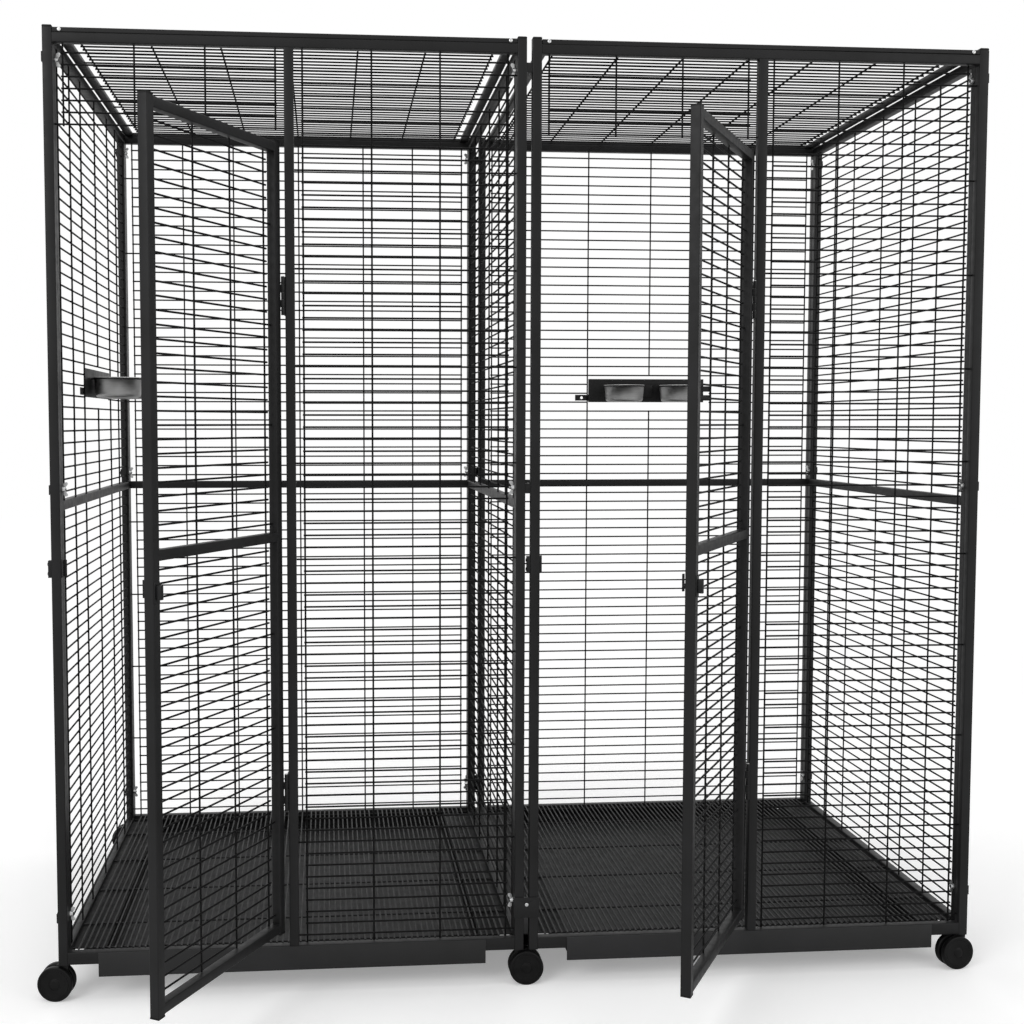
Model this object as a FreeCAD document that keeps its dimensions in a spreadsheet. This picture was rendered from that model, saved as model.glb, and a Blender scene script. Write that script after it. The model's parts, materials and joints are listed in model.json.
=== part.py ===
import FreeCAD, Part
import math
import os
import re

import Sketcher
from FreeCAD import Placement, Rotation, Vector

# A walk-in bird aviary: two square tube-and-net modules side by side on six castors.
# Origin on the floor under the plan centre of both modules, X to the right, Y to the back, Z up.
# A module's own frame starts at its left front post, with Z from the foot of the posts.
# A panel's own frame has X along the panel, Y from its outer face inwards and Z up.

driving_sizes = {
    "whole object": {
        "module_width": 1000, "module_depth": 1000, "module_gap": 12,
        "frame_height": 1952, "roof_bar": 10,
    },
    "tube frames": {
        "tube": 20, "tube_wall": 1.5, "front_beam": 26, "low_rail": 27,
        "seam": 1, "plug_clear": 0.2, "plug_height": 4, "cap_height": 5, "cap_round": 3,
    },
    "nets": {
        "wire": 4, "wire_gap": 0.1, "wire_end": 0.2, "wire_overhang": 3, "net_inset": 18,
        "net_back": 0.5, "middle_bay": 182, "net_rows": 36, "long_row": 8, "net_pitch": 25.6,
        "narrow_bays": 3, "roof_bays": 6, "transom_gap": 30,
    },
    "doors": {
        "latch_gap": 4, "door_low": 59, "door_drop": 213, "door_mid_drop": 65,
        "door_angle_left": 61.5, "door_angle_right": 59.5,
        "hinge_gap": 9, "hinge_set": 3, "hinge_height": 80, "hinge_low": 364, "hinge_drop": 319,
        "leaf": 2, "leaf_depth": 18, "leaf_clear": 0.6,
        "knuckle": 8, "knuckle_gap": 0.4, "knuckle_count": 5,
        "hinge_pin": 4, "pin_clear": 0.05, "pin_head": 6.4, "pin_head_height": 1.5,
    },
    "latches": {
        "latch_drop": 121, "escutcheon_width": 16, "escutcheon_height": 40, "escutcheon": 2,
        "spindle": 8, "knob_width": 8, "knob_height": 26, "knob_depth": 10, "knob_gap": 0.3,
        "lever_width": 8, "lever": 3, "tongue_arm": 11, "thumb_arm": 22, "tongue_gap": 0.5,
        "strike": 2, "strike_gap": 2, "strike_lip": 8, "strike_height": 36, "strike_pitch": 20,
        "strike_back": 7,
    },
    "fasteners": {
        "bolt": 6, "bolt_low": 102, "bolt_mid_rise": 25, "bolt_drop": 49, "bolt_clear": 0.3,
        "bolt_end": 1, "bolt_head": 12, "bolt_head_height": 2, "lug": 2.5, "lug_inset": 2, "lug_height": 20,
        "nut_hub": 12, "nut_length": 7, "nut_span": 30,
        "nut_wing": 2.5, "nut_wing_start": 2.3, "nut_wing_length": 9,
        "stud_head": 11, "stud_head_height": 3, "screw": 4, "screw_head": 8, "screw_head_height": 2.5,
        "screw_length": 8, "roof_screw_inset": 35,
        "plate": 2, "plate_width": 56, "plate_height": 45, "plate_above": 16,
    },
    "floor": {
        "runner_height": 45, "runner_top": 20, "runner_flange": 74, "runner_ledge": 16, "sheet": 2,
        "runner_notch": 30, "tray_gap": 0.5, "tray_back_gap": 2, "tray_height": 21, "tray_wall": 1.5,
        "tray_front_inset": 84, "tray_front_height": 52, "tray_front_low": 26, "seat_gap": 0.3,
        "grate_gap": 1, "grate_pitch": 12.75, "grate_bay": 216, "grate_bays": 3,
    },
    "feeders": {
        "feeder_row": 8, "feeder_height": 67, "feeder_plate": 2, "feeder_hinge_arm": 20,
        "feeder_end_gap": 3, "curl": 7.2, "curl_height": 16, "curl_clear": 0.08, "tab_length": 38,
        "tab_height": 17, "tab_hole": 8, "tab_overlap": 4, "bowl_radius": 56, "bowl_taper": 4,
        "bowl_height": 48, "bowl_wall": 1.2, "bowl_rim": 2.5, "bowl_near": 108, "bowl_spacing": 43.8,
        "ring_clear": 0.6, "ring_wall": 2, "ring_gap": 3.4, "ring_height": 4,
        "neck_width": 20, "neck_overlap": 1.5, "block_width": 28, "block_depth": 12, "block_height": 34,
    },
    "castors": {
        "wheel": 75, "wheel_width": 14, "wheel_round": 3, "wheel_dish": 1.5, "wheel_gap": 0.5,
        "wheel_rim": 7.5, "wheel_slope": 5, "castor_clear": 1,
        "castor_trail": 16, "web": 8, "web_radius": 30, "axle": 8, "axle_reach": 9, "stem": 8,
        "stem_height": 26, "collar_inset": 1, "collar_height": 0.8, "socket_height": 30,
        "turn_left": 174, "turn_middle": 0, "turn_right": 188,
    },
}

doc = FreeCAD.newDocument("aviary")
sheet = doc.addObject("Spreadsheet::Sheet", "sizes")
driving = {}
for family in driving_sizes.values():
    driving.update(family)
for line, (alias, number) in enumerate(driving.items(), start=1):
    sheet.set("A%d" % line, alias)
    sheet.set("B%d" % line, str(number))
    sheet.setAlias("B%d" % line, alias)
doc.recompute()

plan = doc.addObject("App::VarSet", "plan")
derived = set()


def bind(item, prop, formula):
    """Tie a property to a formula of sheet sizes and plan places, given by their bare names."""
    def owned(match):
        word = match.group()
        if word in derived:
            return "plan." + word
        return "sizes." + word if word in driving else word
    item.setExpression(prop, re.sub(r"[a-z_]+", owned, str(formula)))


def derive(name, formula):
    plan.addProperty("App::PropertyFloat", name, "plan")
    bind(plan, name, formula)
    derived.add(name)


def size(name):
    return getattr(plan, name) if name in derived else sheet.get(name)


derive("left_start", "0 - module_width - module_gap / 2")
derive("right_start", "module_gap / 2")
derive("front", "0 - module_depth / 2")
derive("back", "module_depth / 2")
derive("base_height", "wheel + castor_clear")
derive("post_height", "frame_height + roof_bar")
derive("plug", "tube - 2 * tube_wall - 2 * plug_clear")
derive("rail_low", "frame_height - tube")
derive("beam_top", "seam + front_beam")
derive("low_rail_top", "seam + low_rail")
derive("mid_rail_low", "(low_rail_top + rail_low - tube) / 2")
derive("mid_rail_top", "mid_rail_low + tube")
derive("door_mid", "mid_rail_low - door_mid_drop")
derive("latch_level", "mid_rail_low - latch_drop")
derive("bolt_mid", "mid_rail_top + bolt_mid_rise")
derive("bolt_high", "frame_height - bolt_drop")
derive("jamb", "(module_width - tube) / 2")
derive("hinge_x", "jamb - hinge_gap / 2")
derive("door_width", "jamb - tube - hinge_gap - latch_gap")
derive("door_free", "0 - hinge_gap / 2 - door_width")
derive("door_high", "frame_height - door_drop")
derive("hinge_high", "door_high - hinge_drop")
derive("latch_x", "door_free + tube / 2")
derive("transom_low", "door_high + transom_gap")
derive("upper_pitch", "(rail_low - mid_rail_top - 2 * net_inset) / (net_rows - 1)")
derive("cross_depth", "tube - net_back - wire / 2")
derive("row_depth", "cross_depth - wire - wire_gap")
derive("tray_depth", "module_depth - tray_back_gap")
derive("tray_front_width", "module_width - 2 * tray_front_inset")
derive("wall_feeder_axis", "module_depth / 2 - middle_bay")
derive("back_feeder_axis", "module_width / 2 - middle_bay")
derive("feeder_low", "mid_rail_top + net_inset + feeder_row * upper_pitch")
derive("feeder_length", "2 * middle_bay - feeder_end_gap")
derive("ring_outer", "bowl_radius + ring_clear + ring_wall")
derive("bowl_offset", "ring_outer + ring_gap")
derive("bowl_pitch", "2 * ring_outer + bowl_spacing")
derive("bowl_foot_radius", "bowl_radius - bowl_taper")
derive("sill_width", "tube + module_gap - seam")
derive("wheel_face", "web / 2 + wheel_gap")
derive("collar", "tube - 2 * collar_inset")
derive("hole_radius", "bolt / 2 + bolt_clear")
derive("stud_hole_radius", "bolt / 2 + pin_clear")
derive("screw_hole_radius", "screw / 2 + bolt_clear")
doc.recompute()

bolt_levels = ("bolt_low", "bolt_mid", "bolt_high")
screw_steps = ("- strike_pitch / 2", "+ strike_pitch / 2")
module_starts = {"left": "left_start", "right": "right_start"}
upright = Vector(0, 0, 1)


# Solids, sketches and features

def place(item, start):
    for axis, formula in zip("xyz", start):
        bind(item, "Placement.Base." + axis, formula)


def seat(item, where):
    """Place an item by three formulas and a turn about the vertical in degrees."""
    item.Placement = Placement(Vector(), Rotation(upright, 90))
    place(item, where[:3])
    bind(item, "Placement.Rotation.Angle", where[3])
    return item


def box(name, start, spans):
    item = doc.addObject("Part::Box", name)
    place(item, start)
    for prop, formula in zip(("Length", "Width", "Height"), spans):
        bind(item, prop, formula)
    return item


cylinder_turns = {
    "x": Rotation(Vector(0, 1, 0), 90),
    "y": Rotation(Vector(1, 0, 0), -90),
    "z": Rotation(),
}


def cylinder(name, start, radius, length, along="z"):
    item = doc.addObject("Part::Cylinder", name)
    item.Placement = Placement(Vector(), cylinder_turns[along])
    place(item, start)
    bind(item, "Radius", radius)
    bind(item, "Height", length)
    return item


def group(name, pieces):
    item = doc.addObject("Part::Compound", name)
    item.Links = pieces
    return item


def copy(name, piece, where):
    return seat(group(name, [piece]), where)


def fuse(name, pieces):
    item = doc.addObject("Part::MultiFuse", name)
    item.Shapes = pieces
    item.Refine = True
    return item


def cut(name, base, tools):
    item = doc.addObject("Part::Cut", name)
    item.Base = base
    item.Tool = tools[0] if len(tools) == 1 else group(name + "_tools", tools)
    return item


def measure(sketch, name, kind, axis, corner, formula):
    """Dimension a corner from the sketch origin, or keep it on the axis where the formula is 0."""
    if formula == 0:
        sketch.addConstraint(Sketcher.Constraint("PointOnObject", corner, 1, axis))
        return
    number = sketch.addConstraint(Sketcher.Constraint(kind, -1, 1, corner, 1, 1.0))
    sketch.renameConstraint(number, name)
    bind(sketch, "Constraints." + name, formula)


def outline(sketch, tag, corners):
    """Draw a closed outline whose corners are all dimensioned from the sketch origin."""
    first = sketch.GeometryCount
    count = len(corners)
    starts = [
        Vector(2 + math.cos(math.tau * index / count), 2 + math.sin(math.tau * index / count), 0)
        for index in range(count)
    ]
    for index in range(count):
        sketch.addGeometry(Part.LineSegment(starts[index], starts[(index + 1) % count]))
    for index in range(count):
        following = first + (index + 1) % count
        sketch.addConstraint(Sketcher.Constraint("Coincident", first + index, 2, following, 1))
    for index, (across, up) in enumerate(corners):
        measure(sketch, "%s_x_%d" % (tag, index), "DistanceX", -2, first + index, across)
        measure(sketch, "%s_y_%d" % (tag, index), "DistanceY", -1, first + index, up)


def rectangle(start, end):
    return [(start[0], start[1]), (end[0], start[1]), (end[0], end[1]), (start[0], end[1])]


def body_sketch(body, name, role, corners, lift=0):
    sketch = body.newObject("Sketcher::SketchObject", name)
    plane = [item for item in body.Origin.OriginFeatures if item.Role == role][0]
    sketch.AttachmentSupport = (plane, [""])
    sketch.MapMode = "FlatFace"
    bind(sketch, "AttachmentOffset.Base.z", lift)
    outline(sketch, "edge", corners)
    return sketch


def pad(body, name, corners, length, lift=0):
    item = body.newObject("PartDesign::Pad", name)
    item.Profile = body_sketch(body, name + "_sketch", "XY_Plane", corners, lift)
    bind(item, "Length", length)
    return item


def pocket(body, name, corners, depth, lift):
    item = body.newObject("PartDesign::Pocket", name)
    item.Profile = body_sketch(body, name + "_sketch", "XY_Plane", corners, lift)
    bind(item, "Length", depth)
    return item


def revolve(body, name, corners):
    item = body.newObject("PartDesign::Revolution", name)
    sketch = body_sketch(body, name + "_sketch", "XZ_Plane", corners)
    item.Profile = sketch
    item.ReferenceAxis = (sketch, ["V_Axis"])
    item.Angle = 360
    return item


def section(name, width, height):
    """Profile of a rectangular tube, its corner at the sketch origin."""
    sketch = doc.addObject("Sketcher::SketchObject", name)
    outline(sketch, "outer", rectangle((0, 0), (width, height)))
    inner_end = ("%s - tube_wall" % width, "%s - tube_wall" % height)
    outline(sketch, "inner", rectangle(("tube_wall", "tube_wall"), inner_end))
    return sketch


tube_turns = {
    "x": Rotation(Vector(1, 1, 1), 120),
    "y": Rotation(Vector(1, 0, 0), 90),
    "z": Rotation(),
}


def tube(name, profile, start, length, along):
    """Straight tube from a start corner, running towards the positive end of an axis."""
    item = doc.addObject("Part::Extrusion", name)
    item.Base = profile
    item.DirMode = "Custom"
    item.Dir = upright
    item.Solid = True
    item.Placement = Placement(Vector(), tube_turns[along])
    far = "%s + %s" % (start[1], length) if along == "y" else start[1]
    place(item, (start[0], far, start[2]))
    bind(item, "LengthFwd", length)
    return item


square = section("square_section", "tube", "tube")
beam = section("beam_section", "tube", "front_beam")
low = section("low_section", "tube", "low_rail")
bar = section("bar_section", "tube", "roof_bar")

nodes = []


def node(label, pieces, where=(0, 0, 0, 0)):
    item = seat(group(label, pieces), where)
    item.Label = label
    nodes.append(item)


def module_seat(side):
    return (module_starts[side], "front", "base_height", 0)


def back_seat(side):
    return (module_starts[side] + " + module_width", "back", "base_height", 180)


left_wall_seat = ("left_start", "back", "base_height", -90)
partition_seat = ("left_start + module_width", "front", "base_height", 90)
right_wall_seat = ("right_start + module_width", "front", "base_height", 90)


# Corner posts with the lugs that hold the side walls, in a panel's frame

def corner_posts(name, joined_end, drilled_for_strike):
    """Two posts; the joined end's holes fit the studs to the other module, the free end's are clear holes."""
    pieces = []
    for end, start, outer in (("near", "0", "0 - lug"), ("far", "module_width - tube", "module_width")):
        join_radius = "stud_hole_radius" if end == joined_end else "hole_radius"
        holes = []
        for level in bolt_levels:
            reach = "lug + tube / 2"
            begin = "0 - lug" if end == "near" else "module_width - tube / 2"
            tag = "%s_%s_%s" % (name, end, level)
            holes.append(cylinder(tag + "_hole", (begin, "tube / 2", level), join_radius, reach, "x"))
            lug = box(tag + "_lug", (outer, "lug_inset", level + " - lug_height / 2"),
                      ("lug", "2 * tube - 2 * lug_inset", "lug_height"))
            lug_holes = [
                cylinder(tag + "_join", (outer, "tube / 2", level), join_radius, "lug", "x"),
                cylinder(tag + "_wall", (outer, "tube * 3 / 2", level), "hole_radius", "lug", "x"),
            ]
            pieces.append(cut(tag + "_lug_drilled", lug, lug_holes))
        if drilled_for_strike and end == "near":
            for index, step in enumerate(screw_steps):
                holes.append(cylinder("%s_strike_%d" % (name, index),
                                      ("0", "tube / 2", "latch_level " + step),
                                      "screw_hole_radius", "tube", "x"))
        post = tube("%s_%s_post" % (name, end), square, (start, "0", "0"), "post_height", "z")
        pieces.append(cut("%s_%s_drilled" % (name, end), post, holes))
    return pieces


def front_frame():
    inner = "module_width - 2 * tube"
    rails = [
        tube("front_beam_tube", beam, ("tube", "0", "seam"), inner, "x"),
        tube("front_top_rail", square, ("tube", "0", "rail_low"), inner, "x"),
        tube("front_jamb", square, ("jamb", "0", "beam_top"), "rail_low - beam_top", "z"),
    ]
    for side, joined_end in (("left", "far"), ("right", "near")):
        posts = corner_posts(side + "_front", joined_end, True)
        node(side + "_front_frame", posts + rails, module_seat(side))


def back_frame():
    inner = "module_width - 2 * tube"
    rails = [
        tube("rear_low_rail", low, ("tube", "0", "seam"), inner, "x"),
        tube("rear_mid_rail", square, ("tube", "0", "mid_rail_low"), inner, "x"),
        tube("rear_top_rail", square, ("tube", "0", "rail_low"), inner, "x"),
    ]
    for side, joined_end in (("left", "near"), ("right", "far")):
        posts = corner_posts(side + "_rear", joined_end, False)
        node(side + "_back_frame", posts + rails, back_seat(side))


def wall_frame():
    """Side wall between the front and back posts: its stiles stand behind the posts."""
    pieces = []
    for end, start in (("near", "tube"), ("far", "module_depth - 2 * tube")):
        holes = [
            cylinder("wall_%s_%s" % (end, level), (start + " + tube / 2", "0", level),
                     "hole_radius", "tube", "y")
            for level in bolt_levels
        ]
        stile = tube("wall_%s_stile" % end, square, (start, "0", "0"), "rail_low", "z")
        pieces.append(cut("wall_%s_drilled" % end, stile, holes))
    inner = "module_depth - 4 * tube"
    pieces.append(tube("wall_low_rail", low, ("2 * tube", "0", "seam"), inner, "x"))
    pieces.append(tube("wall_mid_rail", square, ("2 * tube", "0", "mid_rail_low"), inner, "x"))
    pieces.append(tube("wall_top_rail", square, ("tube + seam", "0", "rail_low"),
                       "module_depth - 2 * tube - 2 * seam", "x"))
    node("left_wall_frame", pieces, left_wall_seat)
    node("partition_frame", pieces, partition_seat)
    node("right_wall_frame", pieces, right_wall_seat)


# Welded nets: rows along the first axis, cross wires over them one layer further in

def spread(start, end, bays):
    return [start + (end - start) * index / bays for index in range(bays + 1)]


def on_wall(along, depth, up):
    return Vector(along, depth, up)


def on_roof(along, depth, up):
    return Vector(along, up, depth)


def on_floor(along, depth, up):
    return Vector(up, along, depth)


def wide_crosses(start, end):
    """Cross wires of a wide panel: two middle bays, and two equal bays on each side of them."""
    inset = size("net_inset")
    centre = (start + end) / 2
    bay = size("middle_bay")
    first = spread(start + inset, centre - bay, 2)
    last = spread(centre + bay, end - inset, 2)
    return first + [centre] + last


def narrow_crosses(start, end):
    return spread(start + size("net_inset"), end - size("net_inset"), int(size("narrow_bays")))


def rows_between(low_end, high_end, pitch="net_pitch"):
    inset = size("net_inset")
    bays = round((high_end - low_end - 2 * inset) / size(pitch))
    return spread(low_end + inset, high_end - inset, bays)


def outside(start, end, gap):
    """Stretches of a wire left over when a window's gap is cut out of it."""
    if gap is None:
        return [(start, end)]
    return [(start, gap[0]), (gap[1], end)]


def field(rows, crosses, along, up, depths, spot, long_row, window=None, hangs=False):
    """Wires of one welded field: only every long row reaches the frame, the rest end at the outer crosses."""
    radius = size("wire") / 2
    end_gap = size("wire_end")
    overhang = size("wire_overhang")
    wires = []

    def wire(start, end):
        wires.append(Part.makeCylinder(radius, (end - start).Length, start, end - start))

    for index, level in enumerate(rows):
        start, end = crosses[0] - overhang, crosses[-1] + overhang
        if index % long_row == 0:
            start, end = along[0] + end_gap, along[1] - end_gap
        inside = window and window["rows"][0] <= index <= window["rows"][1]
        gap = (window["along"][0] + radius, window["along"][1] - radius) if inside else None
        for begin, finish in outside(start, end, gap):
            wire(spot(begin, depths[0], level), spot(finish, depths[0], level))
    low_end = rows[0] - overhang if hangs else up[0] + end_gap
    for place_along in crosses:
        inside = window and window["along"][0] < place_along < window["along"][1]
        gap = (rows[window["rows"][0] - 1] + radius, rows[window["rows"][1] + 1] - radius) if inside else None
        for begin, finish in outside(low_end, up[1] - end_gap, gap):
            wire(spot(place_along, depths[1], begin), spot(place_along, depths[1], finish))
    return wires


def net(name, wires):
    item = doc.addObject("Part::Feature", name)
    item.Shape = Part.makeCompound(wires)
    item.Placement = Placement()
    return item


def panel_fields(start, end, window=None):
    """Lower and upper field of a full-height panel, either side of its mid rail."""
    crosses = wide_crosses(start, end)
    depths = (size("row_depth"), size("cross_depth"))
    bays = int(size("net_rows")) - 1
    inset = size("net_inset")
    wires = []
    for low_end, high_end, hole in (
        (size("low_rail_top"), size("mid_rail_low"), None),
        (size("mid_rail_top"), size("rail_low"), window),
    ):
        rows = spread(low_end + inset, high_end - inset, bays)
        wires += field(rows, crosses, (start, end), (low_end, high_end), depths, on_wall,
                       int(size("long_row")), hole)
    return wires


def feeder_window(panel_length):
    """Rows and bays of a panel's upper net that are left out round its feeder."""
    first = int(size("feeder_row"))
    covered = int(size("feeder_height") / size("upper_pitch"))
    centre = panel_length / 2
    return {
        "rows": (first, first + covered),
        "along": (centre - size("middle_bay"), centre + size("middle_bay")),
    }


def nets():
    tube_size = size("tube")
    width = size("module_width")
    depth = size("module_depth")
    depths = (size("row_depth"), size("cross_depth"))
    long_row = int(size("long_row"))
    half_start = size("jamb") + tube_size
    beam_top, rail = size("beam_top"), size("rail_low")

    right_half = (half_start, width - tube_size)
    wires = field(rows_between(beam_top, rail), narrow_crosses(*right_half), right_half,
                  (beam_top, rail), depths, on_wall, long_row)
    left_half = (tube_size, size("jamb"))
    inset = size("net_inset")
    transom_bays = round((rail - inset - size("transom_low")) / size("net_pitch"))
    wires += field(spread(size("transom_low"), rail - inset, transom_bays), narrow_crosses(*left_half),
                   left_half, (size("transom_low"), rail), depths, on_wall, long_row, hangs=True)
    front_net = net("front_wires", wires)

    back_span = (tube_size, width - tube_size)
    plain_back = net("back_wires", panel_fields(*back_span))
    window_back = net("back_window_wires", panel_fields(*back_span, feeder_window(width)))
    wall_span = (2 * tube_size, depth - 2 * tube_size)
    plain_wall = net("wall_wires", panel_fields(*wall_span))
    window_wall = net("wall_window_wires", panel_fields(*wall_span, feeder_window(depth)))

    roof_start = 2 * tube_size + 2 * size("seam")
    roof_span = (roof_start, width - roof_start)
    roof_depth_span = (tube_size, depth - tube_size)
    roof_low = size("frame_height") + (size("roof_bar") - 2 * size("wire") - size("wire_gap")) / 2
    roof_layer = roof_low + size("wire") / 2
    roof_depths = (roof_layer, roof_layer + size("wire") + size("wire_gap"))
    roof_crosses = spread(roof_span[0] + inset, roof_span[1] - inset, int(size("roof_bays")))
    roof_net = net("roof_wires", field(rows_between(*roof_depth_span), roof_crosses, roof_span,
                                       roof_depth_span, roof_depths, on_roof, long_row))

    clear = tube_size + size("grate_gap")
    grate_low = size("runner_top") + size("seat_gap") + size("wire") / 2
    grate_depths = (grate_low + size("wire") + size("wire_gap"), grate_low)
    grate_half = size("grate_bay") * size("grate_bays") / 2
    grate_crosses = spread(depth / 2 - grate_half, depth / 2 + grate_half, int(size("grate_bays")))
    grate_crosses = [clear + inset] + grate_crosses + [depth - clear - inset]
    grate_across = (clear, width - clear)
    grate_rows = rows_between(*grate_across, "grate_pitch")
    grate = net("grate_wires", field(grate_rows, grate_crosses, (clear, depth - clear),
                                     grate_across, grate_depths, on_floor, 1))

    node("left_front_net", [front_net], module_seat("left"))
    node("right_front_net", [front_net], module_seat("right"))
    node("left_back_net", [plain_back], back_seat("left"))
    node("right_back_net", [window_back], back_seat("right"))
    node("left_wall_net", [window_wall], left_wall_seat)
    node("partition_net", [plain_wall], partition_seat)
    node("right_wall_net", [plain_wall], right_wall_seat)
    for side in module_starts:
        node(side + "_roof_net", [roof_net], module_seat(side))
        node(side + "_grate", [grate], module_seat(side))


# Doors, in a frame whose Z axis is the hinge axis and whose closed leaf runs along negative X

def door_seat(side):
    return (module_starts[side] + " + hinge_x", "front - hinge_set", "base_height", "door_angle_" + side)


def door_frame():
    height = "door_high - door_low - 2 * plug_height"
    foot = "door_low + plug_height"
    hinge_side = "0 - hinge_gap / 2 - tube"
    hinge_stile = tube("door_hinge_stile", square, (hinge_side, "hinge_set", foot), height, "z")
    free_stile = tube("door_free_stile", square, ("door_free", "hinge_set", foot), height, "z")
    spindle_hole = cylinder("door_spindle_hole", ("latch_x", "hinge_set", "latch_level"),
                            "spindle / 2 + pin_clear", "tube", "y")
    pieces = [hinge_stile, cut("door_free_drilled", free_stile, [spindle_hole])]
    inner = "door_width - 2 * tube"
    top_level = "door_high - plug_height - seam - tube"
    for name, level in (("low", foot + " + seam"), ("mid", "door_mid"), ("top", top_level)):
        start = ("door_free + tube", "hinge_set", level)
        pieces.append(tube("door_%s_rail" % name, square, start, inner, "x"))
    for stile, start in (("free", "door_free"), ("hinge", hinge_side)):
        for end, level in (("foot", "door_low"), ("head", "door_high - plug_height")):
            pieces.append(box("door_%s_%s_plug" % (stile, end), (start, "hinge_set", level),
                              ("tube", "tube", "plug_height")))
    for side in module_starts:
        node(side + "_door_frame", pieces, door_seat(side))


def door_net():
    start = size("door_free") + size("tube")
    along = (start, start + size("door_width") - 2 * size("tube"))
    depths = (size("hinge_set") + size("row_depth"), size("hinge_set") + size("cross_depth"))
    rail_reach = size("plug_height") + size("seam") + size("tube")
    low_end = size("door_low") + rail_reach
    high_end = size("door_high") - rail_reach
    wires = []
    for up in ((low_end, size("door_mid")), (size("door_mid") + size("tube"), high_end)):
        wires += field(rows_between(*up), narrow_crosses(*along), along, up, depths, on_wall,
                       int(size("long_row")))
    mesh = net("door_wires", wires)
    for side in module_starts:
        node(side + "_door_net", [mesh], door_seat(side))


def hinge_leaf(name, leaf_start, knuckles):
    """Hinge leaf with its rolled knuckles, bored for the pin; the foot of the hinge is at Z 0."""
    plate_start = "knuckle / 2 + leaf_clear"
    pieces = [box(name + "_plate", (leaf_start, plate_start, "0"),
                  ("leaf", "hinge_set + leaf_depth - knuckle / 2 - leaf_clear", "hinge_height"))]
    for index in knuckles:
        low_end = "%d * hinge_height / knuckle_count + knuckle_gap / 2" % index
        height = "hinge_height / knuckle_count - knuckle_gap"
        pieces.append(cylinder("%s_knuckle_%d" % (name, index), ("0", "0", low_end), "knuckle / 2", height))
        pieces.append(box("%s_tab_%d" % (name, index), (leaf_start, "0", low_end),
                          ("leaf", "knuckle / 2 + leaf_clear + seam", height)))
    bore = cylinder(name + "_bore", ("0", "0", "0"), "hinge_pin / 2 + pin_clear", "hinge_height")
    return cut(name, fuse(name + "_solid", pieces), [bore])


def hinges():
    count = int(size("knuckle_count"))
    jamb_leaf = hinge_leaf("jamb_leaf", "hinge_gap / 2 - leaf", range(0, count, 2))
    door_leaf = hinge_leaf("door_leaf", "0 - hinge_gap / 2", range(1, count, 2))
    pin = fuse("hinge_pin_solid", [
        cylinder("hinge_pin_shaft", ("0", "0", "0"), "hinge_pin / 2", "hinge_height"),
        cylinder("hinge_pin_head", ("0", "0", "hinge_height"), "pin_head / 2", "pin_head_height"),
    ])
    foots = {"low": "hinge_low - hinge_height / 2", "high": "hinge_high - hinge_height / 2"}
    door_leaves = [copy("door_leaf_" + name, door_leaf, (0, 0, foot, 0)) for name, foot in foots.items()]
    jamb_leaves, pins = [], []
    for side, start in module_starts.items():
        node(side + "_door_hinge_leaves", door_leaves, door_seat(side))
        for name, foot in foots.items():
            where = (start + " + hinge_x", "front - hinge_set", "base_height + " + foot, 0)
            jamb_leaves.append(copy("%s_jamb_leaf_%s" % (side, name), jamb_leaf, where))
            pins.append(copy("%s_hinge_pin_%s" % (side, name), pin, where))
    node("hinge_jamb_leaves", jamb_leaves)
    node("hinge_pins", pins)


def latches():
    plate = box("escutcheon_plate", ("latch_x - escutcheon_width / 2", "hinge_set - escutcheon",
                                     "latch_level - escutcheon_height / 2"),
                ("escutcheon_width", "escutcheon", "escutcheon_height"))
    hole = cylinder("escutcheon_hole", ("latch_x", "hinge_set - escutcheon", "latch_level"),
                    "spindle / 2 + pin_clear", "escutcheon", "y")
    escutcheon = cut("escutcheon_drilled", plate, [hole])

    knob_back = "hinge_set - escutcheon - knob_gap"
    knob_start = ("latch_x - knob_width / 2", knob_back + " - knob_depth", "latch_level - knob_height / 2")
    lever_start = "hinge_set + tube + strike_gap + strike + tongue_gap"
    lever = fuse("latch_turn", [
        box("latch_knob", knob_start, ("knob_width", "knob_depth", "knob_height")),
        cylinder("latch_spindle", ("latch_x", knob_back, "latch_level"), "spindle / 2",
                 "tube + strike_gap + strike + tongue_gap + escutcheon + knob_gap + lever", "y"),
        box("latch_arm", ("latch_x - lever_width / 2", lever_start, "latch_level - tongue_arm"),
            ("lever_width", "lever", "tongue_arm + thumb_arm")),
    ])
    for side in module_starts:
        node(side + "_latch_plate", [escutcheon], door_seat(side))
        node(side + "_latch_lever", [lever], door_seat(side))


def strikes():
    """Keeper on the post beside each door: a plate with a lip behind the closed door, and a block outside."""
    foot = "latch_level - strike_height / 2"
    plate = box("strike_plate", ("tube", "strike", foot), ("strike", "tube + strike_gap", "strike_height"))
    lip = box("strike_lip_plate", ("tube", "tube + strike_gap", foot),
              ("strike_lip", "strike", "strike_height"))
    holes = []
    for index, step in enumerate(screw_steps):
        holes.append(cylinder("strike_hole_%d" % index, ("tube", "tube / 2", "latch_level " + step),
                              "screw / 2 + pin_clear", "strike", "x"))
    keeper = cut("strike_drilled", fuse("strike_solid", [plate, lip]), holes)
    block = box("strike_block", ("0 - strike_back", "strike", foot),
                ("strike_back", "tube - 2 * strike", "strike_height"))
    bores = [
        cylinder("strike_bore_%d" % index, ("0 - strike_back", "tube / 2", "latch_level " + step),
                 "screw_hole_radius", "strike_back", "x")
        for index, step in enumerate(screw_steps)
    ]
    backing = cut("strike_block_drilled", block, bores)
    pieces = []
    for side in module_starts:
        pieces.append(copy(side + "_strike", keeper, module_seat(side)))
        pieces.append(copy(side + "_strike_backing", backing, module_seat(side)))
    node("strikes", pieces)


# Fasteners, each made along positive X from the face under its head

def headed(name, diameter, length, head, head_height):
    return fuse(name, [
        cylinder(name + "_shank", ("0", "0", "0"), diameter + " / 2", length, "x"),
        cylinder(name + "_head", ("0 - " + head_height, "0", "0"), head + " / 2", head_height, "x"),
    ])


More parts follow.
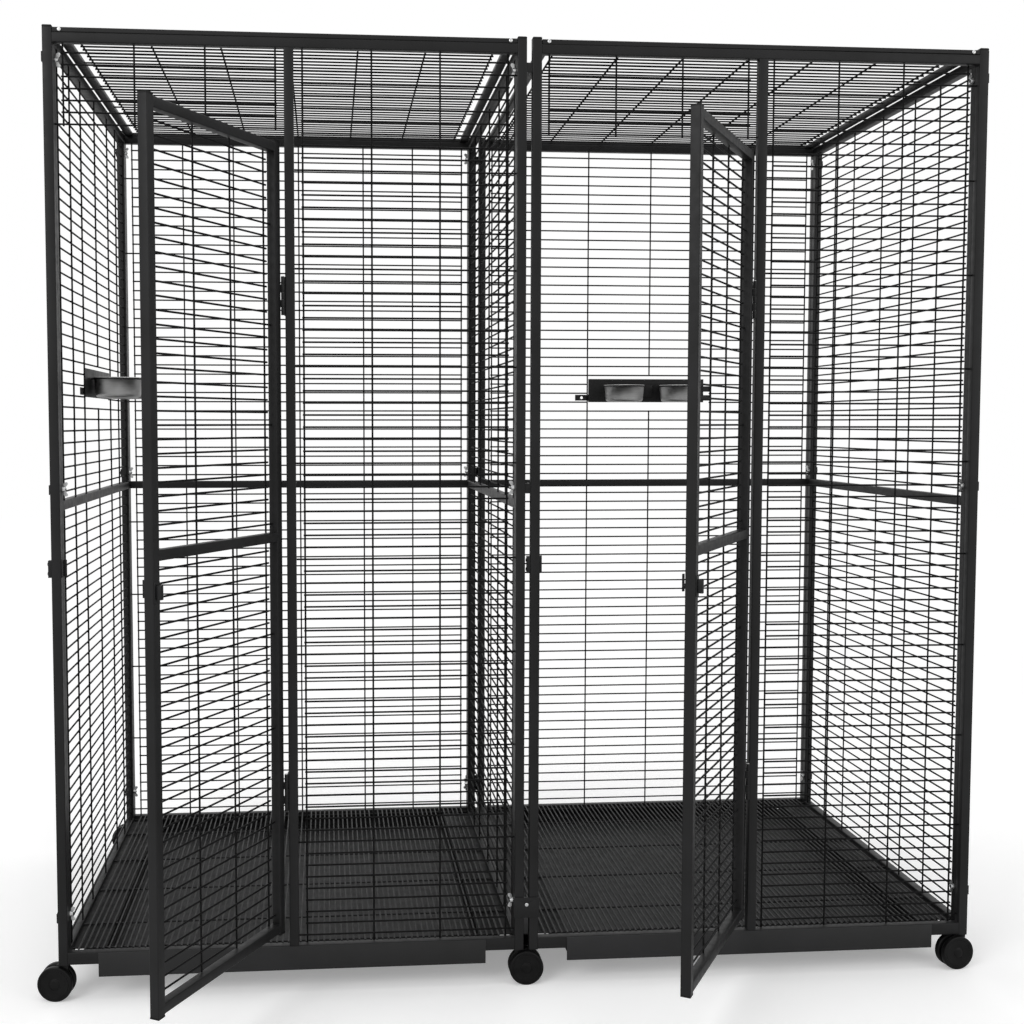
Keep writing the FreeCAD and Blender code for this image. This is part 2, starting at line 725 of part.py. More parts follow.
def wall_bolts():
    """Bolts through lug and stile, with their wing nuts on the inner side of the wall."""
    bolt = headed("wall_bolt", "bolt", "lug + tube + nut_length + bolt_end", "bolt_head", "bolt_head_height")
    wings = [
        cylinder("nut_body", ("0", "0", "0"), "nut_hub / 2", "nut_length", "x"),
        box("nut_wings", ("nut_wing_start", "0 - nut_wing / 2", "0 - nut_span / 2"),
            ("nut_wing_length", "nut_wing", "nut_span")),
    ]
    thread = cylinder("nut_thread", ("0", "0", "0"), "bolt / 2 + pin_clear",
                      "nut_wing_start + nut_wing_length", "x")
    nut = cut("wing_nut", fuse("wing_nut_solid", wings), [thread])
    walls = {
        "left": ("left_start", "-", "+", 0),
        "partition": ("left_start + module_width", "+", "-", 180),
        "right": ("right_start + module_width", "+", "-", 180),
    }
    bolts, nuts = [], []
    for wall, (face, outwards, inwards, turn) in walls.items():
        for row, place_along in (("front", "front + tube * 3 / 2"), ("back", "back - tube * 3 / 2")):
            for level in bolt_levels:
                tag = "%s_%s_%s" % (wall, row, level)
                height = "base_height + " + level
                head_at = ("%s %s lug" % (face, outwards), place_along, height, turn)
                nut_at = ("%s %s tube" % (face, inwards), place_along, height, turn)
                bolts.append(copy(tag + "_bolt", bolt, head_at))
                nuts.append(copy(tag + "_nut", nut, nut_at))
    screw = headed("strike_screw", "screw", "strike_back + tube + strike", "screw_head", "screw_head_height")
    for side, start in module_starts.items():
        for index, step in enumerate(screw_steps):
            where = (start + " - strike_back", "front + tube / 2", "base_height + latch_level " + step, 0)
            bolts.append(copy("%s_strike_screw_%d" % (side, index), screw, where))
    node("frame_bolts", bolts)
    node("wing_nuts", nuts)


def joining():
    """Spacers and studs between the two modules' posts, and a plate across their feet front and back."""
    gap = "module_gap - 2 * lug"
    spacer_depth = "tube - 2 * lug_inset"
    corner = ("0 - module_gap / 2 + lug", "0 - tube / 2 + lug_inset", "0 - lug_height / 2")
    block = box("spacer_block", corner, (gap, spacer_depth, "lug_height"))
    bore = cylinder("spacer_bore", ("0 - module_gap / 2", "0", "0"), "stud_hole_radius", "module_gap", "x")
    spacer = cut("spacer", block, [bore])
    span = "module_gap + 2 * tube_wall"
    stud = fuse("stud", [
        cylinder("stud_shank", ("0 - module_gap / 2 - tube_wall", "0", "0"), "bolt / 2", span, "x"),
        cylinder("stud_head_left", ("0 - module_gap / 2 - tube_wall - stud_head_height", "0", "0"),
                 "stud_head / 2", "stud_head_height", "x"),
        cylinder("stud_head_right", ("module_gap / 2 + tube_wall", "0", "0"),
                 "stud_head / 2", "stud_head_height", "x"),
    ])
    plate = box("foot_plate", ("0 - plate_width / 2", "0 - plate", "bolt_low + plate_above - plate_height"),
                ("plate_width", "plate", "plate_height"))
    plate_hole = cylinder("foot_plate_hole", ("0", "0 - plate", "bolt_low"),
                          "screw_hole_radius", "plate", "y")
    foot_plate = cut("foot_plate_drilled", plate, [plate_hole])
    screw_hole = cylinder("spacer_screw_hole", ("0", "0 - tube / 2", "0"),
                          "screw / 2 + pin_clear", "screw_length - plate", "y")
    foot_spacer = cut("foot_spacer", spacer, [screw_hole])
    pieces = []
    for row, place_along, turn in (("front", "front + tube / 2", 0), ("back", "back - tube / 2", 180)):
        for level in bolt_levels:
            where = (0, place_along, "base_height + " + level, turn)
            kind = foot_spacer if level == "bolt_low" else spacer
            pieces.append(copy("%s_%s_spacer" % (row, level), kind, where))
            pieces.append(copy("%s_%s_stud" % (row, level), stud, where))
        pieces.append(copy(row + "_foot_plate", foot_plate, (0, row, "base_height", turn)))
    node("joining_plates", pieces)


def bright_screws():
    """Screws in the roof bars and in the joining plates, their heads on the outside."""
    screw = headed("bright_screw", "screw", "screw_length", "screw_head", "screw_head_height")
    level = "base_height + frame_height + roof_bar / 2"
    screws = []
    for row, outwards, turn in (("front", "-", 90), ("back", "+", -90)):
        for side, start in module_starts.items():
            for end, shift in (("near", "roof_screw_inset"), ("far", "module_width - roof_screw_inset")):
                where = ("%s + %s" % (start, shift), row, level, turn)
                screws.append(copy("%s_%s_%s_roof_screw" % (row, side, end), screw, where))
        plate_face = "%s %s plate" % (row, outwards)
        screws.append(copy(row + "_plate_screw", screw, (0, plate_face, "base_height + bolt_low", turn)))
    node("bright_screws", screws)


def roof_frame():
    """Flat bars on the front and back rails with two side bars between them, drilled for the screws."""
    start = "tube + seam"
    pieces = []
    for row, place_along in (("front", "0"), ("back", "module_depth - tube")):
        long_bar = tube("roof_%s_bar" % row, bar, (start, place_along, "frame_height"),
                        "module_width - 2 * tube - 2 * seam", "x")
        holes = [
            cylinder("roof_%s_%s_hole" % (row, end), (shift, place_along, "frame_height + roof_bar / 2"),
                     "screw / 2 + pin_clear", "tube", "y")
            for end, shift in (("near", "roof_screw_inset"), ("far", "module_width - roof_screw_inset"))
        ]
        pieces.append(cut("roof_%s_drilled" % row, long_bar, holes))
    for end, place_across in (("near", "tube + 2 * seam"), ("far", "module_width - 2 * tube - 2 * seam")):
        pieces.append(tube("roof_%s_bar" % end, bar, (place_across, "tube", "frame_height"),
                           "module_depth - 2 * tube", "y"))
    for side in module_starts:
        node(side + "_roof_frame", pieces, module_seat(side))


def post_caps():
    cap = doc.addObject("PartDesign::Body", "post_cap")
    block = pad(cap, "cap_block", rectangle((0, 0), ("tube", "tube")), "cap_height")
    doc.recompute()
    top_edges = [
        "Edge%d" % number for number, edge in enumerate(block.Shape.Edges, start=1)
        if all(abs(vertex.Z - size("cap_height")) < size("wire_end") for vertex in edge.Vertexes)
    ]
    rounding = cap.newObject("PartDesign::Fillet", "cap_edges")
    rounding.Base = (block, top_edges)
    bind(rounding, "Radius", "cap_round")
    caps = []
    for side, start in module_starts.items():
        for end, across in (("near", ""), ("far", " + module_width - tube")):
            for row, place_along in (("front", "front"), ("back", "back - tube")):
                where = (start + across, place_along, "base_height + post_height", 0)
                caps.append(copy("%s_%s_%s_cap" % (side, end, row), cap, where))
    node("post_caps", caps)


# Floor: runners under the grate, tray on the runners

def tray_runners():
    """Z-section strips from the side rails in to the tray, and a sill over the gap where there is no wall."""
    profile = doc.addObject("Sketcher::SketchObject", "runner_section")
    inner = "runner_flange + runner_ledge - sheet"
    outline(profile, "edge", [
        (0, "runner_height - sheet"), ("runner_flange - sheet", "runner_height - sheet"),
        ("runner_flange - sheet", 0), (inner, 0), (inner, "sheet"), ("runner_flange", "sheet"),
        ("runner_flange", "runner_height"), (0, "runner_height"),
    ])
    length = "module_depth - 2 * tube"
    strip = tube("runner_strip", profile, ("0", "0", "0"), length, "y")
    notches = [
        box("runner_notch_" + end, ("0", start, "runner_height - sheet"),
            ("runner_notch", "runner_notch", "sheet"))
        for end, start in (("near", "0"), ("far", length + " - runner_notch"))
    ]
    runner = cut("runner", strip, notches)
    low_end = "base_height + runner_top - runner_height"
    pieces = []
    for side, start in module_starts.items():
        pieces.append(copy(side + "_near_runner", runner, (start + " + tube", "front + tube", low_end, 0)))
        pieces.append(copy(side + "_far_runner", runner,
                           (start + " + module_width - tube", "back - tube", low_end, 180)))
    sill = section("sill_section", "sill_width", "low_rail")
    sill_start = ("right_start + tube - sill_width", "front + tube", "base_height + seam")
    pieces.append(tube("open_side_sill", sill, sill_start, length, "y"))
    node("tray_runners", pieces)


def trays():
    """Pan on the runner ledges with a front plate before the base beam; made from the plate's low corner."""
    tray = doc.addObject("PartDesign::Body", "tray")
    pan_width = "module_width - 2 * (tube + runner_flange + tray_gap)"
    pan_start = "(tray_front_width - (%s)) / 2" % pan_width
    pan_end = "(tray_front_width + (%s)) / 2" % pan_width
    pan_low = "tray_front_low + runner_top - runner_height + sheet + seat_gap"
    pan_front = "plate"
    pan_back = "plate + tray_depth"
    pad(tray, "tray_front", rectangle((0, 0), ("tray_front_width", "plate")), "tray_front_height")
    pad(tray, "tray_pan", rectangle((pan_start, pan_front), (pan_end, pan_back)), "tray_height", pan_low)
    inner_start = (pan_start + " + tray_wall", pan_front + " + tray_wall")
    inner_end = (pan_end + " - tray_wall", pan_back + " - tray_wall")
    pan_top = pan_low + " + tray_height"
    pocket(tray, "tray_inside", rectangle(inner_start, inner_end), "tray_height - tray_wall", pan_top)
    across = " + (module_width - tray_front_width) / 2"
    for side, start in module_starts.items():
        node(side + "_tray", [tray], (start + across, "front - plate", "base_height - tray_front_low", 0))


# Feeder stations, in a frame on the net wire that a feeder turns on, X towards its tab and Y inwards

bowl_places = ("bowl_near", "bowl_near + bowl_pitch")


def feeder_seats():
    level = "base_height + feeder_low"
    return {
        "left": ("left_start + cross_depth", "back - wall_feeder_axis", level, -90),
        "right": ("right_start + module_width - back_feeder_axis", "back - cross_depth", level, 180),
    }


def feeder_stations():
    thick = "feeder_plate"
    half = "0 - feeder_plate / 2"
    ring_low = "bowl_height - bowl_wall - seat_gap - ring_height"
    tab_low = "upper_pitch / 2 - tab_height / 2"
    tab_face = "0 - wire / 2 - seat_gap - feeder_plate"
    pieces = [
        box("feeder_panel", ("feeder_hinge_arm", half, "0"),
            ("feeder_length - feeder_hinge_arm", thick, "feeder_height")),
        box("feeder_tab", ("feeder_length - tab_overlap", tab_face, tab_low),
            ("tab_length + tab_overlap", thick, "tab_height")),
        box("feeder_joggle", ("feeder_length - tab_overlap", tab_face, tab_low),
            ("tab_overlap", "wire / 2 + seat_gap + feeder_plate * 3 / 2", "tab_height")),
        box("feeder_block",
            ("bowl_near + (bowl_pitch - block_width) / 2", "0", "(feeder_height - block_height) / 2"),
            ("block_width", "block_depth", "block_height")),
    ]
    holes = []
    for index, across in enumerate(bowl_places):
        curl_low = "upper_pitch * (%d + 1 / 2) - curl_height / 2" % index
        curl_at = ("0", "0", curl_low)
        pieces.append(cylinder("feeder_curl_%d" % index, curl_at, "curl / 2", "curl_height"))
        pieces.append(box("feeder_arm_%d" % index, ("0", half, curl_low),
                          ("feeder_hinge_arm", thick, "curl_height")))
        holes.append(cylinder("feeder_bore_%d" % index, curl_at, "wire / 2 + curl_clear", "curl_height"))
        pieces.append(cylinder("feeder_ring_%d" % index, (across, "bowl_offset", ring_low),
                               "ring_outer", "ring_height"))
        pieces.append(box("feeder_neck_%d" % index, (across + " - neck_width / 2", "0", ring_low),
                          ("neck_width", "ring_gap + neck_overlap", "ring_height")))
        holes.append(cylinder("feeder_ring_hole_%d" % index, (across, "bowl_offset", ring_low),
                              "bowl_radius + ring_clear", "ring_height"))
    holes.append(cylinder("feeder_tab_hole", ("feeder_length + tab_length / 2", tab_face, "upper_pitch / 2"),
                          "tab_hole / 2", "feeder_plate", "y"))
    plate = cut("feeder_station", fuse("feeder_solid", pieces), holes)
    for side, where in feeder_seats().items():
        node(side + "_feeder_plate", [plate], where)


def bowls():
    bowl = doc.addObject("PartDesign::Body", "bowl")
    revolve(bowl, "bowl_turned", [
        (0, 0), ("bowl_foot_radius", 0), ("bowl_radius", "bowl_height - bowl_wall"),
        ("bowl_radius + bowl_rim", "bowl_height - bowl_wall"), ("bowl_radius + bowl_rim", "bowl_height"),
        ("bowl_radius - bowl_wall", "bowl_height"), ("bowl_foot_radius - bowl_wall", "bowl_wall"),
        (0, "bowl_wall"),
    ])
    for side, where in feeder_seats().items():
        for name, across in zip(("bowl_a", "bowl_b"), bowl_places):
            seated = copy("%s_%s_seated" % (side, name), bowl, (across, "bowl_offset", 0, 0))
            node("%s_%s" % (side, name), [seated], where)


# Castors, in a frame on the stem axis with Z from the floor and the wheels trailing along X

def castors():
    radius = "wheel / 2"
    neck_top = "base_height - collar_height"
    hood = fuse("castor_hood", [
        cylinder("castor_web", ("castor_trail", "0 - web / 2", radius), "web_radius", "web", "y"),
        box("castor_neck", ("0 - collar / 2", "0 - web / 2", radius),
            ("castor_trail + collar / 2", "web", neck_top + " - wheel / 2")),
        cylinder("castor_collar", ("0", "0", neck_top), "collar / 2", "collar_height"),
        cylinder("castor_stem", ("0", "0", neck_top), "stem / 2", "collar_height + stem_height"),
        cylinder("castor_axle", ("castor_trail", "0 - wheel_face - axle_reach", radius), "axle / 2",
                 "2 * (wheel_face + axle_reach)", "y"),
    ])
    disc = doc.addObject("PartDesign::Body", "castor_disc")
    bore = "axle / 2 + pin_clear"
    revolve(disc, "disc_turned", [
        (bore, 0), ("wheel / 2 - wheel_round", 0), ("wheel / 2", "wheel_round"),
        ("wheel / 2", "wheel_width - wheel_round"), ("wheel / 2 - wheel_round", "wheel_width"),
        ("wheel / 2 - wheel_rim", "wheel_width"),
        ("wheel / 2 - wheel_rim - wheel_slope", "wheel_width - wheel_dish"),
        (0, "wheel_width - wheel_dish"), (0, "axle_reach + wheel_gap"), (bore, "axle_reach + wheel_gap"),
    ])
    discs = []
    for name, sign, tilt in (("near", "-", 90), ("far", "+", -90)):
        turned = group("disc_" + name, [disc])
        turned.Placement = Placement(Vector(), Rotation(Vector(1, 0, 0), tilt))
        place(turned, ("castor_trail", "0 %s wheel_face" % sign, radius))
        discs.append(turned)
    plug = box("socket_plug", ("0 - plug / 2", "0 - plug / 2", "0"), ("plug", "plug", "socket_height"))
    stem_bore = cylinder("socket_bore", ("0", "0", "0"), "stem / 2 + pin_clear", "socket_height")
    socket = cut("socket", plug, [stem_bore])
    stems = (
        ("left_start + tube / 2", "turn_left"),
        ("left_start + module_width - tube / 2", "turn_middle"),
        ("right_start + module_width - tube / 2", "turn_right"),
    )
    sockets = []
    number = 0
    for place_along in ("front + tube / 2", "back - tube / 2"):
        for across, turn in stems:
            number += 1
            node("castor_hood_%d" % number, [hood], (across, place_along, 0, turn))
            node("castor_wheel_%d" % number, discs, (across, place_along, 0, turn))
            sockets.append(copy("socket_%d" % number, socket, (across, place_along, "base_height", 0)))
    node("castor_sockets", sockets)


for make in (
    front_frame, back_frame, wall_frame, nets, door_frame, door_net, hinges, latches, strikes, wall_bolts,
    joining, bright_screws, roof_frame, post_caps, tray_runners, trays, feeder_stations, bowls, castors,
):
    make()
doc.recompute()

failed = [item.Name for item in doc.Objects if "Invalid" in item.State or "Error" in item.State]
failed += [item.Label for item in nodes if item.Shape.isNull() or not item.Shape.isValid()]
if failed:
    raise SystemExit("failed: " + ", ".join(failed))

os.makedirs("parts", exist_ok=True)
for item in nodes:
    item.Shape.exportStep("parts/%s.step" % item.Label)
bounds = Part.makeCompound([item.Shape for item in nodes]).BoundBox
print(len(nodes), "nodes,", sum(len(item.Shape.Solids) for item in nodes), "solids")
print("X %.1f to %.1f, Y %.1f to %.1f, Z %.1f to %.1f" % (
    bounds.XMin, bounds.XMax, bounds.YMin, bounds.YMax, bounds.ZMin, bounds.ZMax))
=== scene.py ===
import json
import math

import bmesh
import bpy
import numpy as np
from mathutils import Matrix, Vector


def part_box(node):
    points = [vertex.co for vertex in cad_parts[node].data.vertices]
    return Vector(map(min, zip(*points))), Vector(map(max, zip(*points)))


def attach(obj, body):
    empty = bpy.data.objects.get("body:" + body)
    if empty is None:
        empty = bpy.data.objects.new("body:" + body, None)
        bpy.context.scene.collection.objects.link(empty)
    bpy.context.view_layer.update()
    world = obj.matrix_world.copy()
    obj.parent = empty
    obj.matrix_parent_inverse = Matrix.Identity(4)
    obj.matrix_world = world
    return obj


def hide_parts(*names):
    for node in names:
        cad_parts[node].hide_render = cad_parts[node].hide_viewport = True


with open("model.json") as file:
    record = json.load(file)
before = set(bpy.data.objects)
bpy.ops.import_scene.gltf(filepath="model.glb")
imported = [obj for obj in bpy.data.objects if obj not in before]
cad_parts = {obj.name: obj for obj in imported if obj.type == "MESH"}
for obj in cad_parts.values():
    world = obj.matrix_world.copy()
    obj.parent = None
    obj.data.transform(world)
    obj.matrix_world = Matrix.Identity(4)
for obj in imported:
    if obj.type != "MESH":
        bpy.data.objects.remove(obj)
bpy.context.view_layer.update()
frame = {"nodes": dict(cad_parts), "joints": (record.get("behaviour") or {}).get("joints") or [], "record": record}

nodes = frame["nodes"]
bodyOf = {node: body for body, names in frame["record"]["behaviour"]["bodies"].items() for node in names}
slotOf = {part["node"]: part["material_slot"] for part in frame["record"]["subparts"]}
joints = {joint["name"]: joint for joint in frame["joints"]}
sides = ("left", "right")


# shader helpers

def newFinish(name):
    finish = bpy.data.materials.new(name)
    finish.use_nodes = True
    tree = finish.node_tree
    return finish, tree, tree.nodes["Principled BSDF"]


def noiseOn(tree, coords, scale, detail=3.0, stretch=None):
    noise = tree.nodes.new("ShaderNodeTexNoise")
    noise.inputs["Scale"].default_value = scale
    noise.inputs["Detail"].default_value = detail
    if stretch:
        mapping = tree.nodes.new("ShaderNodeMapping")
        mapping.inputs["Scale"].default_value = stretch
        tree.links.new(coords, mapping.inputs["Vector"])
        coords = mapping.outputs["Vector"]
    tree.links.new(coords, noise.inputs["Vector"])
    return noise.outputs["Fac"]


def rampBetween(tree, value, low, high, start=0.35, end=0.65):
    ramp = tree.nodes.new("ShaderNodeValToRGB")
    ramp.color_ramp.elements[0].position = start
    ramp.color_ramp.elements[1].position = end
    ramp.color_ramp.elements[0].color = (*low, 1)
    ramp.color_ramp.elements[1].color = (*high, 1)
    tree.links.new(value, ramp.inputs["Fac"])
    return ramp.outputs["Color"]


def spanBetween(tree, value, low, high, start=0.3, end=0.7):
    span = tree.nodes.new("ShaderNodeMapRange")
    for socket, number in zip(("From Min", "From Max", "To Min", "To Max"), (start, end, low, high)):
        span.inputs[socket].default_value = number
    tree.links.new(value, span.inputs["Value"])
    return span.outputs["Result"]


def bumpFrom(tree, height, strength, distance):
    bump = tree.nodes.new("ShaderNodeBump")
    bump.inputs["Strength"].default_value = strength
    bump.inputs["Distance"].default_value = distance
    tree.links.new(height, bump.inputs["Height"])
    return bump.outputs["Normal"]


def roughenBy(tree, surface, value, looks):
    rough = spanBetween(tree, value, looks["roughLow"], looks["roughHigh"])
    tree.links.new(rough, surface.inputs["Roughness"])


# powder coat: a satin skin with a fine orange peel, and faint clouds in tone and gloss
coatDetail = {"coolness": 1.04, "glossScale": 7, "peelStrength": 0.5}
coatLooks = {
    "frameCoat": {"dark": 0.008, "pale": 0.012, "roughLow": 0.38, "roughHigh": 0.50, "shine": 0.20,
                  "peel": 620.0, "peelDepth": 0.00006, "cloud": 9.0},
    "netCoat": {"dark": 0.004, "pale": 0.007, "roughLow": 0.50, "roughHigh": 0.62, "shine": 0.08,
                "peel": 900.0, "peelDepth": 0.00004, "cloud": 14.0},
    "sheetCoat": {"dark": 0.009, "pale": 0.013, "roughLow": 0.48, "roughHigh": 0.62, "shine": 0.16,
                  "peel": 760.0, "peelDepth": 0.00008, "cloud": 6.0},
    # painted light: the tray coat is the sheet coat made paler, standing in for the light the tray pans catch while
    # the runners stay dark
    "paintedLightTrayCoat": {"dark": 0.016, "pale": 0.021, "roughLow": 0.46, "roughHigh": 0.58, "shine": 0.24,
                 "peel": 700.0, "peelDepth": 0.00007, "cloud": 5.0},
}


def powderCoat(name):
    looks = coatLooks[name]
    finish, tree, surface = newFinish(name)
    coords = tree.nodes.new("ShaderNodeTexCoord").outputs["Object"]
    cloud = noiseOn(tree, coords, looks["cloud"], 4.0)
    peel = noiseOn(tree, coords, looks["peel"], 2.0)
    pale = looks["pale"]
    tone = rampBetween(tree, cloud, (looks["dark"],) * 3, (pale, pale, pale * coatDetail["coolness"]))
    tree.links.new(tone, surface.inputs["Base Color"])
    roughenBy(tree, surface, noiseOn(tree, coords, looks["cloud"] * coatDetail["glossScale"]), looks)
    skin = bumpFrom(tree, peel, coatDetail["peelStrength"], looks["peelDepth"])
    tree.links.new(skin, surface.inputs["Normal"])
    surface.inputs["Specular IOR Level"].default_value = looks["shine"]
    return finish


# bright metals: zinc with a crystal mottle, stainless with lines round the bowl
metalLooks = {
    "zinc": {"dark": (0.46, 0.47, 0.48), "pale": (0.66, 0.66, 0.65), "mottle": 240.0,
             "roughLow": 0.24, "roughHigh": 0.42},
    "stainless": {"dark": (0.34, 0.34, 0.34), "pale": (0.40, 0.40, 0.395), "lines": (2.0, 150.0, 1.0),
                  "roughLow": 0.38, "roughHigh": 0.44, "lineStrength": 0.35, "lineDepth": 0.00001},
}


def zincPlate():
    looks = metalLooks["zinc"]
    finish, tree, surface = newFinish("zincPlate")
    coords = tree.nodes.new("ShaderNodeTexCoord").outputs["Object"]
    mottle = noiseOn(tree, coords, looks["mottle"], 4.0)
    tree.links.new(rampBetween(tree, mottle, looks["dark"], looks["pale"]), surface.inputs["Base Color"])
    roughenBy(tree, surface, mottle, looks)
    surface.inputs["Metallic"].default_value = 1.0
    return finish


def spunStainless():
    looks = metalLooks["stainless"]
    finish, tree, surface = newFinish("spunStainless")
    coords = tree.nodes.new("ShaderNodeTexCoord").outputs["UV"]
    lines = noiseOn(tree, coords, 1.0, 5.0, looks["lines"])
    tree.links.new(rampBetween(tree, lines, looks["dark"], looks["pale"]), surface.inputs["Base Color"])
    roughenBy(tree, surface, lines, looks)
    turning = bumpFrom(tree, lines, looks["lineStrength"], looks["lineDepth"])
    tree.links.new(turning, surface.inputs["Normal"])
    surface.inputs["Metallic"].default_value = 1.0
    return finish


# moulded plastics: castor tyres a little smoother than the hoods and caps
plasticDetail = {"scuffScale": 46.0, "grainStrength": 0.4}
plasticLooks = {
    "mouldedBlack": {"dark": 0.005, "pale": 0.009, "roughLow": 0.45, "roughHigh": 0.58, "shine": 0.16,
                     "grain": 1400.0, "grainDepth": 0.00004},
    "castorTyre": {"dark": 0.003, "pale": 0.006, "roughLow": 0.34, "roughHigh": 0.48, "shine": 0.14,
                   "grain": 700.0, "grainDepth": 0.00003},
}


def mouldedPlastic(name):
    looks = plasticLooks[name]
    finish, tree, surface = newFinish(name)
    coords = tree.nodes.new("ShaderNodeTexCoord").outputs["Object"]
    grain = noiseOn(tree, coords, looks["grain"], 2.0)
    scuffs = noiseOn(tree, coords, plasticDetail["scuffScale"], 6.0)
    tone = rampBetween(tree, scuffs, (looks["dark"],) * 3, (looks["pale"],) * 3)
    tree.links.new(tone, surface.inputs["Base Color"])
    roughenBy(tree, surface, scuffs, looks)
    skin = bumpFrom(tree, grain, plasticDetail["grainStrength"], looks["grainDepth"])
    tree.links.new(skin, surface.inputs["Normal"])
    surface.inputs["Specular IOR Level"].default_value = looks["shine"]
    return finish


finishes = {
    "frame_black": powderCoat("frameCoat"),
    "net_black": powderCoat("netCoat"),
    "sheet_black": powderCoat("sheetCoat"),
    "zinc": zincPlate(),
    "stainless": spunStainless(),
    "plastic_black": mouldedPlastic("mouldedBlack"),
    "castor_black": mouldedPlastic("castorTyre"),
}
# painted light: the trays and the grates over them get this paler copy of the sheet coat in place of the light that
# falls on them
paintedLightTrayCoat = powderCoat("paintedLightTrayCoat")    # trays and the grates over them are a little paler
print("finishes:", len(finishes) + 1)


# seating a finished piece in place of its CAD node

def addPiece(name, mesh, *forNodes):
    piece = bpy.data.objects.new(name, mesh)
    bpy.context.scene.collection.objects.link(piece)
    if not mesh.materials:
        mesh.materials.append(finishes[slotOf[forNodes[0]]])
    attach(piece, bodyOf[forNodes[0]])
    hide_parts(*forNodes)
    return piece


def meshFrom(bm, name):
    mesh = bpy.data.meshes.new(name)
    bm.to_mesh(mesh)
    bm.free()
    mesh.shade_smooth()
    return mesh


# pieces that keep the CAD outline but get rolled tube corners or broken sheet edges
edgeLooks = {
    "tube": {"width": 0.0018, "segments": 3, "shortest": 0.06},   # corner radius of the drawn tube
    "sheet": {"width": 0.0005, "segments": 2, "shortest": 0.0},   # deburred edge under the coat
    "cast": {"width": 0.0009, "segments": 2, "shortest": 0.0},    # moulded edge
    "keepFlat": math.radians(28),    # softer edges are left to smooth shading
    "coplanar": math.radians(0.6),
    "weld": 1e-6,
}


def softened(node, kind, *coats):
    looks = edgeLooks[kind]
    bm = bmesh.new()
    bm.from_mesh(nodes[node].data)
    bmesh.ops.remove_doubles(bm, verts=bm.verts, dist=edgeLooks["weld"])
    bmesh.ops.dissolve_limit(bm, angle_limit=edgeLooks["coplanar"], verts=bm.verts, edges=bm.edges)
    sharp = [edge for edge in bm.edges if len(edge.link_faces) == 2
             and edge.calc_face_angle_signed(0) > edgeLooks["keepFlat"]
             and edge.calc_length() > looks["shortest"]]
    bmesh.ops.bevel(bm, geom=sharp, offset=looks["width"], offset_type="OFFSET", segments=looks["segments"],
                    profile=0.5, affect="EDGES", clamp_overlap=True)
    mesh = meshFrom(bm, node + "Form")
    mesh.set_sharp_from_angle(angle=edgeLooks["keepFlat"])
    for coat in coats:
        mesh.materials.append(coat)
    return addPiece(node + "Form", mesh, node)


# moulded plugs in both ends of the door stiles
plugLooks = {"height": 0.004}


def plugEnds(door):
    heights = [vertex.co.z for vertex in door.data.vertices]
    foot = min(heights) + plugLooks["height"]
    head = max(heights) - plugLooks["height"]
    for face in door.data.polygons:
        if face.center.z < foot or face.center.z > head:
            face.material_index = 1


for side in sides:
    for name in ("front_frame", "back_frame", "roof_frame"):
        softened("%s_%s" % (side, name), "tube")
    plugEnds(softened(side + "_door_frame", "tube", finishes["frame_black"], finishes["plastic_black"]))
    # the trays take the paler coat with painted light in it
    softened(side + "_tray", "sheet", paintedLightTrayCoat)
    for name in ("door_hinge_leaves", "latch_plate", "latch_lever", "feeder_plate"):
        softened("%s_%s" % (side, name), "sheet")
for name in ("left_wall_frame", "partition_frame", "right_wall_frame"):
    softened(name, "tube")
for name in ("hinge_jamb_leaves", "hinge_pins", "strikes", "joining_plates", "tray_runners"):
    softened(name, "sheet")
for name in ["post_caps", "castor_sockets"] + ["castor_hood_%d" % number for number in range(1, 7)]:
    softened(name, "cast")
print("frames, doors, trays and fittings softened")


# geometry nodes helpers

def newTree(name, *inputs):
    tree = bpy.data.node_groups.new(name, "GeometryNodeTree")
    tree.interface.new_socket("Geometry", in_out="INPUT", socket_type="NodeSocketGeometry")
    for label, kind in inputs:
        tree.interface.new_socket(label, in_out="INPUT", socket_type="NodeSocket" + kind)
    tree.interface.new_socket("Geometry", in_out="OUTPUT", socket_type="NodeSocketGeometry")
    return tree, tree.nodes.new("NodeGroupInput").outputs, tree.nodes.new("NodeGroupOutput").inputs


def addNode(tree, kind, **links):
    made = tree.nodes.new("GeometryNode" + kind)
    for socket, value in links.items():
        target = made.inputs[socket.replace("_", " ")]
        if isinstance(value, bpy.types.NodeSocket):
            tree.links.new(value, target)
        else:
            target.default_value = value
    return made


def grown(tree, seedMesh, name, values):
    seed = bpy.data.objects.new(name + "Seed", seedMesh)
    bpy.context.scene.collection.objects.link(seed)
    modifier = seed.modifiers.new(name, "NODES")
    modifier.node_group = tree
    for item in tree.interface.items_tree:
        if item.in_out == "INPUT" and item.name in values:
            modifier[item.identifier] = values[item.name]
    evaluated = seed.evaluated_get(bpy.context.evaluated_depsgraph_get())
    mesh = bpy.data.meshes.new_from_object(evaluated)
    mesh.name = name
    seed.modifiers.remove(modifier)
    bpy.data.objects.remove(seed)
    return mesh


# welded nets and grates: round wire along each CAD wire, a small weld at each crossing
netLooks = {"sides": 8, "weldRadius": 0.0024, "weldReach": 2.4}


